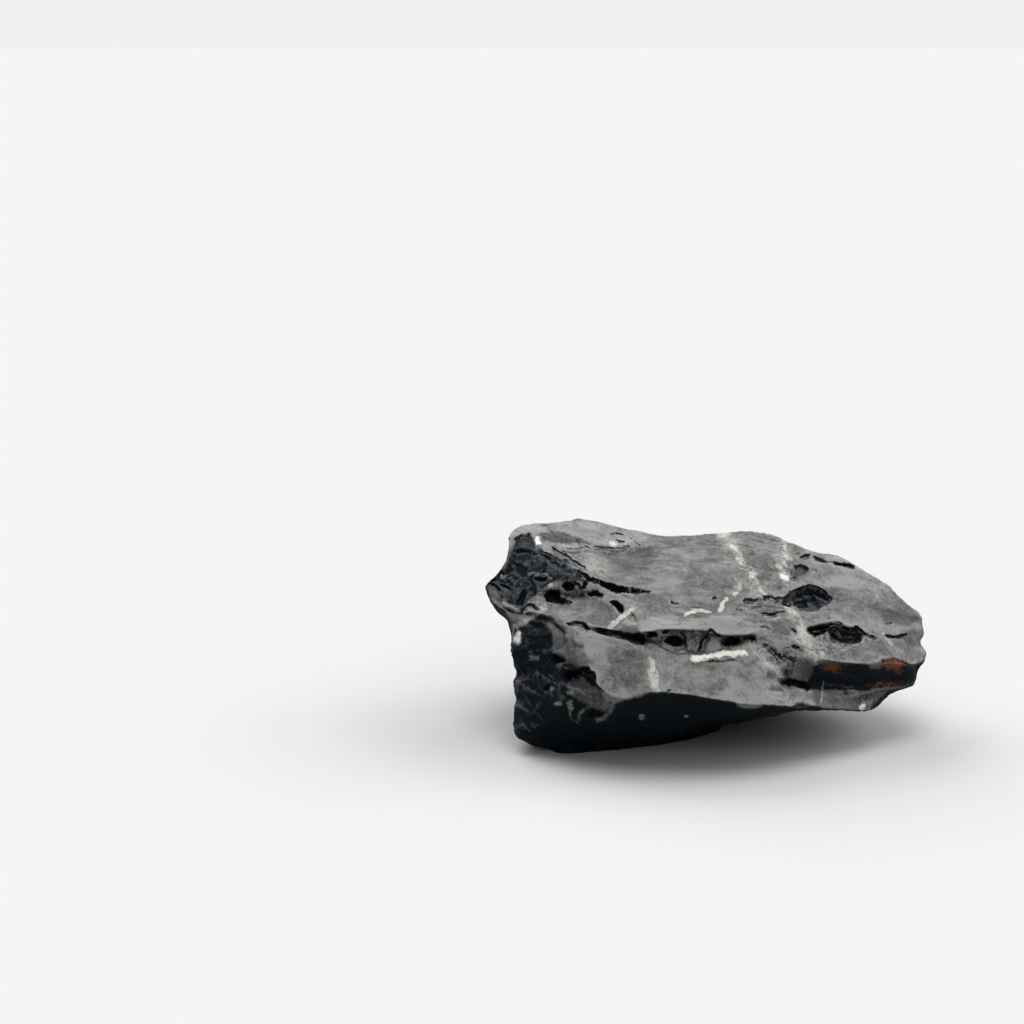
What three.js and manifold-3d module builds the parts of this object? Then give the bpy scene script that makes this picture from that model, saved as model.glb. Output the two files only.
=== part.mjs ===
// A raw lump of shungite, broken from the bed on every side, that lies on a small flat spot.
//
// Millimetres, +Z up. +X runs along the length and +Y from the front, which is split by a long
// ledge, to the back. The origin is the middle of the underside of its box.
//
// The form is held by long edges. Each runs from the left end to the right end of the lump, and
// together they go once round the section: up the front, over the top, down the back. A surface
// is lofted through them, its flat faces are roughened a little, and chips are broken out of it.
import * as THREE from 'three';
import { ConvexGeometry } from 'three/addons/geometries/ConvexGeometry.js';
import { LoftGeometry } from 'three/addons/geometries/LoftGeometry.js';
import { ImprovedNoise } from 'three/addons/math/ImprovedNoise.js';
import { mergeVertices } from 'three/addons/utils/BufferGeometryUtils.js';
import Module from 'manifold-3d';

// Overall size of the lump.
const LENGTH = 62.7;
const DEPTH = 42.5;
const HEIGHT = 26.6;

const FACET = 1.7; // longest side of a cell of the lofted surface
const END_RINGS = [0.65, 0.3, 0]; // the end faces close in rings of these sizes
const WEAR = [ // uneven surface: how far it strays, and over what distance
  { reach: 0.35, span: 7.0 },
  { reach: 0.16, span: 2.6 },
];
const UNLIKE = 11.3; // how far apart the wear along X, Y and Z is read, so that they differ
const ON_GROUND = 0.01; // what lies lower than this is the flat spot
const SAME_POINT = 1e-4;

// The long edges, left to right, each with only the corners that it has.
const EDGES = {
  // Front of the flat spot, then the underside rises off the ground to the right.
  footFront: [
    [-26.4, -11.0, 1.4], [-24.6, -13.2, 0.3], [-20.5, -13.6, 0.0], [-12.0, -11.6, 0.0],
    [-7.0, -10.0, 0.0], [-2.6, -7.6, 0.0], [1.4, -4.4, 0.0], [6.0, -4.0, 1.4], [12.0, -4.4, 3.0],
    [18.0, -4.6, 4.2], [26.8, -3.8, 7.4],
  ],
  // The undercut face that leans out over the foot.
  undercut: [
    [-27.6, -11.4, 4.2], [-25.8, -13.9, 3.6], [-21.5, -15.9, 4.3], [-18.0, -17.2, 4.9],
    [-10.1, -17.2, 5.2], [-2.6, -16.8, 5.5], [2.6, -16.0, 5.6], [8.5, -14.4, 5.8], [14.7, -12.0, 5.4],
    [20.8, -9.6, 5.4], [26.6, -6.6, 7.0],
  ],
  cheek: [
    [-27.1, -10.6, 9.8], [-24.0, -14.3, 9.4], [-19.1, -18.7, 8.8], [-14.4, -20.1, 8.5],
    [-10.7, -20.5, 9.6], [-4.3, -20.6, 9.4], [1.5, -20.6, 8.6], [7.4, -19.4, 7.9], [15.4, -14.7, 6.1],
    [19.7, -12.1, 5.4], [23.8, -9.8, 6.3], [26.9, -7.4, 7.5],
  ],
  // The rim between the undercut face and the front slope. It drops from the left shoulder.
  rim: [
    [-28.0, -8.2, 15.2], [-25.2, -11.6, 15.3], [-22.3, -14.3, 15.1], [-19.8, -17.6, 14.5],
    [-17.2, -20.0, 13.1], [-15.9, -20.6, 11.4], [-14.0, -20.8, 10.2], [-11.1, -21.1, 10.9],
    [-7.8, -21.3, 11.4], [-4.5, -21.5, 10.9], [1.3, -21.6, 9.9], [7.3, -20.4, 9.0], [15.3, -15.4, 7.0],
    [19.7, -12.8, 6.1], [23.1, -10.6, 6.7], [27.4, -7.6, 8.0],
  ],
  // Top of the front slope, which is the foot of the ledge.
  slopeTop: [
    [-28.6, -6.6, 17.2], [-25.2, -9.8, 18.0], [-22.1, -12.2, 18.3], [-19.2, -13.1, 17.9],
    [-15.9, -13.5, 17.0], [-12.5, -13.8, 16.2], [-9.2, -13.8, 15.6], [-2.5, -13.7, 15.2],
    [3.5, -13.6, 15.4], [5.5, -13.6, 14.8], [7.5, -14.2, 13.1], [9.1, -14.4, 9.9], [12.2, -13.4, 9.4],
    [16.6, -12.4, 8.1], [20.9, -11.0, 8.2], [25.4, -8.8, 8.1], [28.1, -6.8, 8.6],
  ],
  // The ledge is hollow behind: a crack at the left, a notch in the middle, a recess at the right.
  // Between the notch and the recess it dies out, and a slot is all that is left of it.
  hollow: [
    [-28.8, -6.2, 17.6], [-25.3, -9.4, 18.4], [-22.1, -11.8, 18.6], [-19.1, -12.3, 18.0],
    [-15.7, -12.2, 17.2], [-11.5, -12.0, 15.8], [-9.1, -11.6, 15.4], [-5.7, -11.4, 15.0],
    [1.1, -11.4, 15.0], [3.0, -11.6, 15.4], [4.4, -12.6, 15.9], [5.2, -13.2, 15.3], [7.1, -13.5, 13.9],
    [8.3, -13.8, 12.6], [9.6, -12.8, 10.1], [12.4, -11.6, 9.5], [13.8, -11.4, 9.3], [16.9, -10.8, 8.4],
    [20.9, -9.6, 8.4], [25.3, -7.9, 8.5], [28.2, -6.4, 9.2],
  ],
  // The lip that overhangs it, and the brow over the recess.
  lip: [
    [-29.0, -5.6, 18.0], [-25.4, -9.0, 18.8], [-22.1, -11.5, 19.0], [-19.8, -12.2, 18.3],
    [-15.9, -13.1, 17.7], [-13.2, -13.7, 17.1], [-10.6, -13.9, 17.0], [-7.9, -13.7, 17.7],
    [-2.6, -13.6, 17.8], [3.2, -13.3, 17.5], [5.1, -12.9, 16.9], [6.9, -12.9, 14.9], [8.2, -13.8, 13.0],
    [9.2, -14.6, 11.2], [12.1, -14.0, 10.8], [12.9, -13.2, 12.3], [13.9, -12.4, 13.2],
    [17.9, -12.1, 12.3], [20.7, -11.3, 11.6], [23.7, -9.8, 11.9], [28.3, -7.1, 10.4], [30.3, -5.2, 9.9],
  ],
  // Foot of the step at the left, then the low front of the upper face.
  stepFoot: [
    [-30.8, -3.6, 18.6], [-26.5, -5.6, 19.1], [-23.6, -6.0, 19.4], [-21.0, -5.9, 19.8],
    [-17.6, -6.5, 19.8], [-15.2, -7.0, 19.6], [-13.6, -8.0, 19.0], [-12.2, -9.2, 18.5],
    [-8.9, -9.0, 18.8], [-6.2, -9.0, 19.0], [-2.1, -9.0, 19.0], [3.4, -9.0, 18.6], [6.6, -9.6, 17.5],
    [9.1, -11.0, 15.7], [11.8, -11.6, 14.0], [14.1, -9.0, 15.3], [20.0, -6.4, 14.4], [26.0, -4.6, 12.6],
    [30.6, -3.8, 10.8],
  ],
  // A steep dark face climbs from there to the high left corner. A spur stands out beside it.
  stepMid: [
    [-32.0, -2.0, 20.5], [-28.6, -2.6, 21.2], [-25.6, -3.2, 22.2], [-22.2, -4.2, 22.0],
    [-19.0, -5.2, 21.4], [-16.6, -6.6, 20.7], [-14.2, -7.4, 20.3], [-12.6, -8.3, 19.7],
    [-10.8, -8.0, 19.5], [-6.0, -6.8, 19.8], [0.0, -6.0, 20.0], [6.0, -5.6, 19.2], [12.0, -5.0, 17.6],
    [18.0, -4.4, 16.0], [24.0, -3.2, 14.4], [30.4, -2.0, 11.8],
  ],
  stepTop: [
    [-29.7, -0.4, 22.6], [-28.0, 0.8, 25.4], [-25.4, 0.0, 25.8], [-23.4, -2.3, 24.7],
    [-20.8, -3.8, 23.6], [-16.9, -5.1, 21.9], [-13.5, -5.7, 21.2], [-9.4, -5.6, 20.5],
    [-4.0, -4.0, 20.6], [3.0, -3.0, 20.2], [10.0, -2.8, 18.8], [16.0, -2.6, 17.2], [22.0, -2.0, 15.7],
    [27.0, -1.2, 14.0], [30.3, -0.4, 12.9],
  ],
  crest: [
    [-28.5, 3.5, 26.2], [-25.0, 4.4, 26.4], [-21.5, 3.6, 25.6], [-15.2, 4.0, 23.9], [-8.1, 4.0, 22.3],
    [-1.0, 4.0, 21.7], [6.1, 4.0, 21.0], [13.1, 3.0, 19.6], [20.0, 2.2, 17.7], [25.4, 1.4, 16.1],
    [30.4, 1.0, 14.3],
  ],
  backEdge: [
    [-27.6, 7.0, 26.2], [-25.3, 9.0, 26.8], [-22.7, 11.2, 26.4], [-18.0, 14.0, 26.1],
    [-14.7, 15.5, 25.3], [-10.8, 16.5, 24.2], [-7.0, 17.5, 22.9], [-4.1, 18.0, 22.3],
    [-0.2, 18.5, 22.4], [3.5, 19.0, 22.6], [7.4, 19.0, 22.7], [11.1, 18.5, 22.5], [14.3, 17.0, 21.7],
    [17.0, 15.0, 21.0], [19.9, 13.5, 20.0], [22.4, 12.0, 18.9], [25.4, 9.5, 17.2], [28.2, 6.5, 16.1],
    [30.0, 3.2, 15.0],
  ],
  backUpper: [
    [-27.2, 9.4, 20.6], [-23.0, 13.4, 20.0], [-15.0, 17.6, 18.4], [-8.0, 19.0, 17.0], [0.0, 21.0, 17.2],
    [8.0, 20.6, 17.4], [14.0, 17.4, 15.0], [20.0, 15.4, 14.6], [26.0, 9.8, 12.6], [29.8, 4.4, 12.6],
  ],
  backLower: [
    [-26.6, 9.8, 9.6], [-20.0, 14.2, 8.2], [-12.0, 18.6, 8.6], [-4.0, 19.2, 6.6], [4.0, 19.8, 7.8],
    [11.0, 16.4, 7.4], [18.0, 13.6, 8.6], [24.0, 9.8, 8.8], [29.6, 2.6, 10.8],
  ],
  footBack: [
    [-24.6, 6.8, 1.4], [-19.0, 11.0, 0.0], [-12.0, 13.6, 0.0], [-4.0, 14.6, 0.0], [4.0, 12.6, 0.0],
    [9.0, 9.6, 0.0], [15.0, 8.0, 2.4], [21.0, 6.0, 5.0], [25.0, 3.6, 7.0], [28.6, 0.2, 8.6],
  ],
};

// The middle of each end face, which the surface closes onto.
const LEFT_END = [-27.4, 0.6, 11.5];
const RIGHT_END = [30.7, -3.4, 10.8];

// Chips broken out of the surface, each the hull of its corners.
const CHIPS = {
  // A thin slot that undercuts the upper face beside the step.
  slot: [
    [-16.7, -4.1, 22.2], [-14.0, -4.8, 21.6], [-11.2, -5.0, 21.1], [-9.2, -5.3, 20.8],
    [-16.1, -4.9, 21.8], [-14.1, -6.0, 21.2], [-13.0, -6.5, 20.9], [-11.2, -6.2, 20.7],
    [-10.0, -6.0, 20.6], [-15.6, -1.6, 21.2], [-13.0, -2.0, 20.6], [-10.6, -2.8, 20.2],
    [-15.4, -1.8, 20.6], [-13.0, -2.2, 19.9], [-10.8, -3.0, 19.7],
  ],
  // A hole in the middle of the upper face, with a steep arched back and a low front.
  scoop: [
    [10.2, -2.2, 19.0], [12.0, 0.6, 19.7], [14.3, 2.6, 19.9], [16.1, 2.2, 19.5], [17.6, 0.8, 18.0],
    [15.5, -1.9, 17.6], [13.2, -4.3, 17.4], [12.0, -3.1, 18.0], [12.9, 0.2, 16.6], [14.4, 1.4, 15.5],
    [15.9, 1.2, 15.9],
  ],
  // A lower pocket toward the front right, steep behind and open to the front.
  pocket: [
    [12.8, -7.6, 16.4], [14.5, -6.4, 16.7], [16.6, -4.9, 16.7], [18.2, -5.0, 16.1], [21.1, -5.3, 14.7],
    [13.5, -8.0, 14.9], [15.0, -6.9, 14.7], [17.0, -5.6, 14.4], [18.8, -5.7, 13.9], [20.3, -6.0, 13.6],
    [19.2, -7.7, 14.3], [17.6, -9.1, 14.1], [15.6, -10.7, 13.8], [14.2, -9.6, 15.1],
  ],
  // A shallow bite near the back edge.
  bite: [
    [11.8, 4.4, 20.3], [13.3, 7.7, 20.9], [14.4, 9.0, 20.9], [15.4, 8.2, 20.5], [12.6, 4.9, 19.4],
    [13.7, 7.2, 19.5], [14.6, 7.9, 19.4], [15.2, 5.4, 19.6], [13.2, 3.4, 19.7],
  ],
  // A hollow in the dark cheek under the left shoulder.
  cheekHollow: [
    [-21.9, -16.3, 13.1], [-19.4, -19.1, 14.0], [-17.0, -21.1, 13.7], [-17.1, -21.3, 11.8],
    [-19.7, -19.0, 11.8], [-21.6, -16.4, 11.9], [-17.7, -18.7, 10.8], [-19.6, -16.7, 10.9],
    [-21.0, -15.0, 11.1],
  ],
};

const wasm = await Module();
wasm.setup();

function vector([x, y, z]) {
  return new THREE.Vector3(x, y, z);
}

// The point of an edge at a share of its way from left to right, measured along X.
function along(edge, share) {
  const x = THREE.MathUtils.lerp(edge[0][0], edge.at(-1)[0], share);
  const next = Math.max(1, edge.findIndex((corner) => corner[0] >= x - SAME_POINT));
  const [from, to] = [vector(edge[next - 1]), vector(edge[next])];
  return from.clone().lerp(to, (x - from.x) / (to.x - from.x));
}

// Closed rings of points through the edges, one for each column of cells.
function rings(edges) {
  const columns = Math.ceil(LENGTH / FACET);
  const shares = Array.from({ length: columns + 1 }, (_, k) => k / columns);
  const stations = shares.map((share) => edges.map((edge) => along(edge, share)));
  const rows = edges.map((_, i) => {
    const widths = stations.map((corners) => corners[i].distanceTo(corners[(i + 1) % corners.length]));
    return Math.ceil(Math.max(...widths) / FACET);
  });
  return stations.map((corners) => corners.flatMap((corner, i) => {
    const next = corners[(i + 1) % corners.length];
    return Array.from({ length: rows[i] }, (_, j) => corner.clone().lerp(next, j / rows[i]));
  }));
}

// A ring drawn in towards the middle of an end face.
function shrunk(ring, middle, size) {
  return ring.map((point) => vector(middle).lerp(point, size));
}

// Moves each corner of the surface a little, except on the flat spot.
function roughen(geometry) {
  const noise = new ImprovedNoise();
  const position = geometry.getAttribute('position');
  const point = new THREE.Vector3();
  for (let i = 0; i < position.count; i++) {
    point.fromBufferAttribute(position, i);
    if (point.z < ON_GROUND) continue;
    const move = new THREE.Vector3();
    for (const { reach, span } of WEAR) {
      const p = point.clone().divideScalar(span);
      move.x += reach * noise.noise(p.x + UNLIKE, p.y, p.z);
      move.y += reach * noise.noise(p.x, p.y + UNLIKE, p.z);
      move.z += reach * noise.noise(p.x, p.y, p.z + UNLIKE);
    }
    point.add(move);
    position.setXYZ(i, point.x, point.y, Math.max(point.z, 0));
  }
}

function solidOf(geometry) {
  const bare = new THREE.BufferGeometry();
  bare.setAttribute('position', geometry.getAttribute('position'));
  bare.setIndex(geometry.getIndex());
  const merged = mergeVertices(bare, SAME_POINT);
  const whole = []; // corners of the triangles, without those that have met in one point
  for (let i = 0; i < merged.index.count; i += 3) {
    const [a, b, c] = merged.index.array.slice(i, i + 3);
    if (a !== b && b !== c && c !== a) whole.push(a, b, c);
  }
  return new wasm.Manifold(new wasm.Mesh({
    numProp: 3,
    vertProperties: merged.getAttribute('position').array,
    triVerts: new Uint32Array(whole),
  }));
}

function geometryOf(solid) {
  const { vertProperties, triVerts } = solid.getMesh();
  const geometry = new THREE.BufferGeometry();
  geometry.setAttribute('position', new THREE.BufferAttribute(vertProperties, 3));
  geometry.setIndex(new THREE.BufferAttribute(triVerts, 1));
  return geometry;
}

// Stands the lump on the middle of its box and brings the box to its driving size.
function fitToSize(geometry) {
  geometry.computeBoundingBox();
  const { min, max } = geometry.boundingBox;
  geometry.translate(-(min.x + max.x) / 2, -(min.y + max.y) / 2, -min.z);
  geometry.scale(LENGTH / (max.x - min.x), DEPTH / (max.y - min.y), HEIGHT / (max.z - min.z));
  geometry.computeVertexNormals();
  return geometry;
}

function lump() {
  // The loft faces out when each ring runs the other way round from the list of edges.
  const body = rings(Object.values(EDGES)).map((ring) => ring.reverse());
  const sections = [
    ...END_RINGS.map((size) => shrunk(body[0], LEFT_END, size)).reverse(),
    ...body,
    ...END_RINGS.map((size) => shrunk(body.at(-1), RIGHT_END, size)),
  ];
  const surface = new LoftGeometry(sections);
  roughen(surface);
  const chipped = Object.values(CHIPS).reduce(
    (solid, corners) => solid.subtract(solidOf(new ConvexGeometry(corners.map(vector)))),
    solidOf(surface),
  );
  return fitToSize(geometryOf(chipped));
}

const stone = new THREE.MeshStandardMaterial({
  color: 0x26282b, // the near-black of carbon rock
  roughness: 0.5,
  metalness: 0.0,
  flatShading: true,
});

const rock = new THREE.Mesh(lump(), stone);
rock.name = 'rock';

const group = new THREE.Group();
group.add(rock);

export default group;
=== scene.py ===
"""A raw lump of shungite on a pale studio floor.

The surface of the CAD solid is remeshed finely and broken up with dishes, beds, cracks, holes and
chips. Its material holds dust and painted light and shade, cracks and holes painted black as
shade, veins and rust. Lengths are in mm, and in metres in the mesh.
marks that the camera sees are given by their place in the picture, and are projected from the
camera onto the surface. The other sides take theirs from seeded noise and a few planes of vein.
"""
import math

import bpy
import numpy as np
from mathutils import Euler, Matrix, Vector
from mathutils.bvhtree import BVHTree


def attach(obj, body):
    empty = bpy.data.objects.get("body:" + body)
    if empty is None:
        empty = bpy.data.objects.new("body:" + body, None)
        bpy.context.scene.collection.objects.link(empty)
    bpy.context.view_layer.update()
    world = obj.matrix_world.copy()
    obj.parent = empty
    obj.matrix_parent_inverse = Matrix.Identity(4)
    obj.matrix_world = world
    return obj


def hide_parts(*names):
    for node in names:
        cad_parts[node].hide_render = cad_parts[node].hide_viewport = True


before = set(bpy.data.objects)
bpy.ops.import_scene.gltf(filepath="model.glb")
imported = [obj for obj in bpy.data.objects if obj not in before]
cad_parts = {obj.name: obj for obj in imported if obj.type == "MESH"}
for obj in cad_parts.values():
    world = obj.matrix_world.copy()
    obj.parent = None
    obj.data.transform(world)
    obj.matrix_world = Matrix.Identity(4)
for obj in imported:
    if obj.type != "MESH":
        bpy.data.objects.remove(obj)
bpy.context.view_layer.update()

MM = 0.001
FORM_VOXEL = 0.3  # spacing of the surface while the form is worked, in mm
VOXEL = 0.19  # and while its surface is broken up
TRIANGLES = 196000  # of the finished surface

# The camera: where it stands, how far down it looks, and its focal length in pixels of the picture.
PICTURE = 1024
FOCAL = 1900.0
CAMERA = np.array([-26.85, -254.60, 94.0])
PITCH = math.radians(14.0)
SENSOR = 36.0

# Upward direction of the beds in the rock, and where dust and painted top light come from.
BEDDING = np.array([0.19, -0.10, 0.977])
LIGHT_AND_DUST_FROM = np.array([-0.05, -0.10, 0.99])
CHIP_TURN = (0.5, 0.4, 0.6)  # turns the pattern of the chips out of line with the axes, in radians

# Small moves of the form across the picture: middle, half widths and move, in pixels.
PULLS = [
    ((732, 629), (24, 9), (0, 7)),
    ((908, 682), (14, 16), (7, 2)),
    ((838, 555), (20, 12), (0, -6)),
    ((862, 568), (30, 18), (1, -4)),
    ((886, 588), (20, 16), (3, -6)),
    ((914, 622), (14, 22), (3, -2)),
    ((919, 636), (10, 9), (5, 0)),
    ((868, 706), (26, 7), (3, 4)),
    ((745, 533), (30, 12), (0, -2)),
    ((517, 650), (12, 22), (-6, 0)),
    ((524, 734), (16, 14), (-6, 3)),
    ((516, 674), (6, 5), (3, 0)),
    ((516, 699), (5, 4), (2, 0)),
]

# Outlines in the picture inside which the form's steps are melted away to a plain surface.
MELTED = [
    [(583,568), (600,568), (625,572), (650,580), (655,592), (650,604), (640,612), (626,616), (600,606),
     (583,597)],
    [(776,601), (786,588), (800,581), (814,580), (830,587), (840,599), (830,611), (812,617), (792,613)],
    [(748,634), (765,630), (790,638), (812,652), (820,660), (814,674), (800,690), (787,688), (772,676),
     (752,656)],
    [(643,634), (660,632), (700,631), (716,637), (742,638), (750,641), (745,647), (722,650), (690,654),
     (660,650), (643,643)],
]
MELT_ROUNDS = 500
MELT_DEPTH = 9.0  # how far behind the front of an outline the surface is melted, in mm
MELT_FADE = 5.0  # in pixels

# Cracks, as lines in the picture with a half width, and their depth in mm. Their insides are
# painted black as shade.
CRACKS = [
    # The high left corner and the dark mass under it.
    ([(553,547), (557,550), (562,553), (568,557), (576,562), (585,567)], 1.3, 0.6),
    ([(541,550), (552,556), (560,560), (567,561)], 0.9, 0.4),
    ([(560,548), (570,556), (578,562), (588,571)], 0.7, 0.2),
    ([(579,571), (586,576), (592,580), (600,582), (607,586)], 1.8, 0.8),
    ([(608,586), (620,589), (632,590), (643,591), (650,592)], 1.7, 0.4),
    ([(515,540), (516,537), (523,535), (530,534), (533,540), (535,545)], 0.9, 0.4),
    ([(565,548), (578,549), (586,547), (592,549)], 0.8, 0.2),
    ([(594,546), (603,547), (613,548), (620,548), (630,546)], 0.9, 0.35),
    ([(610,534), (616,533), (622,534)], 1.0, 0.3),
    ([(616,540), (624,541)], 1.0, 0.3),
    ([(622,534), (628,541)], 0.7, 0.15),
    ([(630,537), (633,541), (640,545)], 0.8, 0.2),
    ([(587,580), (585,584), (584,588)], 2.2, 0.7),
    ([(589,594), (594,592), (602,595)], 2.2, 0.7),
    ([(573,581), (579,585), (581,589)], 1.2, 0.4),
    ([(611,602), (618,602), (621,606), (623,612)], 1.5, 0.7),
    ([(560,601), (566,600), (572,602)], 1.5, 0.5),
    ([(524,590), (521,597), (517,605)], 2.0, 0.4),
    ([(521,611), (527,606), (533,605), (538,609)], 1.8, 0.5),
    ([(489,583), (496,586), (500,590)], 1.4, 0.3),
    ([(500,583), (505,585), (509,588)], 1.4, 0.3),
    ([(535,578), (541,579), (546,578)], 1.3, 0.4),
    ([(502,572), (500,571)], 1.6, 0.4),
    # The crack at the left of the ledge.
    ([(568,623), (575,623), (581,623), (585,625), (589,628)], 1.5, 0.7),
    ([(589,627), (598,629)], 0.6, 0.2),
    ([(598,629), (606,630), (612,631), (620,633), (626,634)], 1.8, 0.9),
    ([(624,634), (632,637), (638,640), (645,641)], 2.2, 0.9),
    ([(631,612), (634,616), (637,620)], 1.0, 0.3),
    ([(628,617), (632,614)], 0.8, 0.2),
    # Inside the notch, and round the bar of vein below it.
    ([(681,631), (684,638), (686,646)], 1.1, 0.3),
    ([(710,629), (706,636), (702,641), (699,649)], 1.5, 0.4),
    ([(711,630), (716,635), (719,637)], 1.3, 0.4),
    ([(705,655), (715,652), (722,650), (730,651)], 0.8, 0.2),
    ([(700,661), (710,661), (722,661), (737,659)], 1.0, 0.2),
    ([(666,693), (669,690)], 1.3, 0.4),
    # Between the notch and the slot at the right.
    ([(761,626), (766,626), (770,629)], 1.2, 0.3),
    ([(791,627), (794,629), (796,632)], 1.4, 0.3),
    ([(793,644), (796,645), (799,647)], 1.2, 0.4),
    ([(765,643), (768,646)], 1.2, 0.4),
    ([(770,648), (775,652), (780,658)], 0.9, 0.4),
    ([(751,638), (756,639)], 1.5, 0.4),
    ([(765,655), (772,661), (778,664)], 0.7, 0.1),
    ([(773,647), (782,655), (788,660)], 0.8, 0.2),
    ([(785,652), (790,656), (796,661)], 0.9, 0.3),
    # Round the hollows of the upper face.
    ([(764,597), (770,597), (776,598), (784,598)], 1.5, 0.6),
    ([(784,598), (792,592), (800,588), (808,585), (816,587), (825,592), (832,599)], 1.3, 0.5),
    ([(776,600), (782,603), (790,606)], 1.2, 0.4),
    ([(796,567), (800,565), (804,566), (808,568)], 1.6, 0.5),
    ([(793,577), (797,577)], 1.4, 0.3),
    ([(806,570), (815,570), (820,575)], 0.7, 0.15),
    ([(743,601), (748,600), (755,601)], 1.6, 0.5),
    ([(751,607), (757,606), (763,606)], 0.9, 0.2),
    ([(755,598), (762,599), (769,601)], 0.8, 0.2),
    ([(736,609), (743,610)], 1.0, 0.2),
    ([(762,613), (768,613)], 1.5, 0.3),
    ([(768,615), (773,615), (777,613)], 1.6, 0.5),
    ([(777,612), (786,611)], 0.8, 0.3),
    ([(672,602), (678,604)], 1.6, 0.3),
    ([(712,598), (717,597)], 1.4, 0.25),
    ([(691,608), (702,608)], 0.6, 0.15),
    # Slits along the top right edge.
    ([(797,553), (801,552), (805,555)], 0.7, 0.15),
    ([(801,557), (806,556), (809,555)], 1.6, 0.6),
    ([(814,557), (819,559), (824,561)], 1.3, 0.5),
    ([(825,561), (832,562)], 0.8, 0.2),
    ([(835,563), (841,564), (847,565), (853,567)], 1.9, 0.6),
    # The pocket, and the line from it to the right end.
    ([(808,629), (815,628), (826,628)], 1.3, 0.7),
    ([(809,630), (815,635), (820,633), (826,630)], 1.4, 0.7),
    ([(827,628), (831,624), (836,623), (841,623), (845,627), (849,630)], 1.2, 0.6),
    ([(852,628), (857,627), (862,631), (865,634)], 1.6, 0.6),
    ([(851,640), (858,639)], 1.2, 0.5),
    ([(832,634), (838,638), (844,641)], 2.0, 0.4),
    ([(864,633), (869,636), (877,637)], 0.9, 0.4),
    ([(887,635), (892,636), (897,636), (906,634)], 1.5, 0.6),
    ([(884,623), (892,623)], 1.0, 0.2),
]
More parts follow.
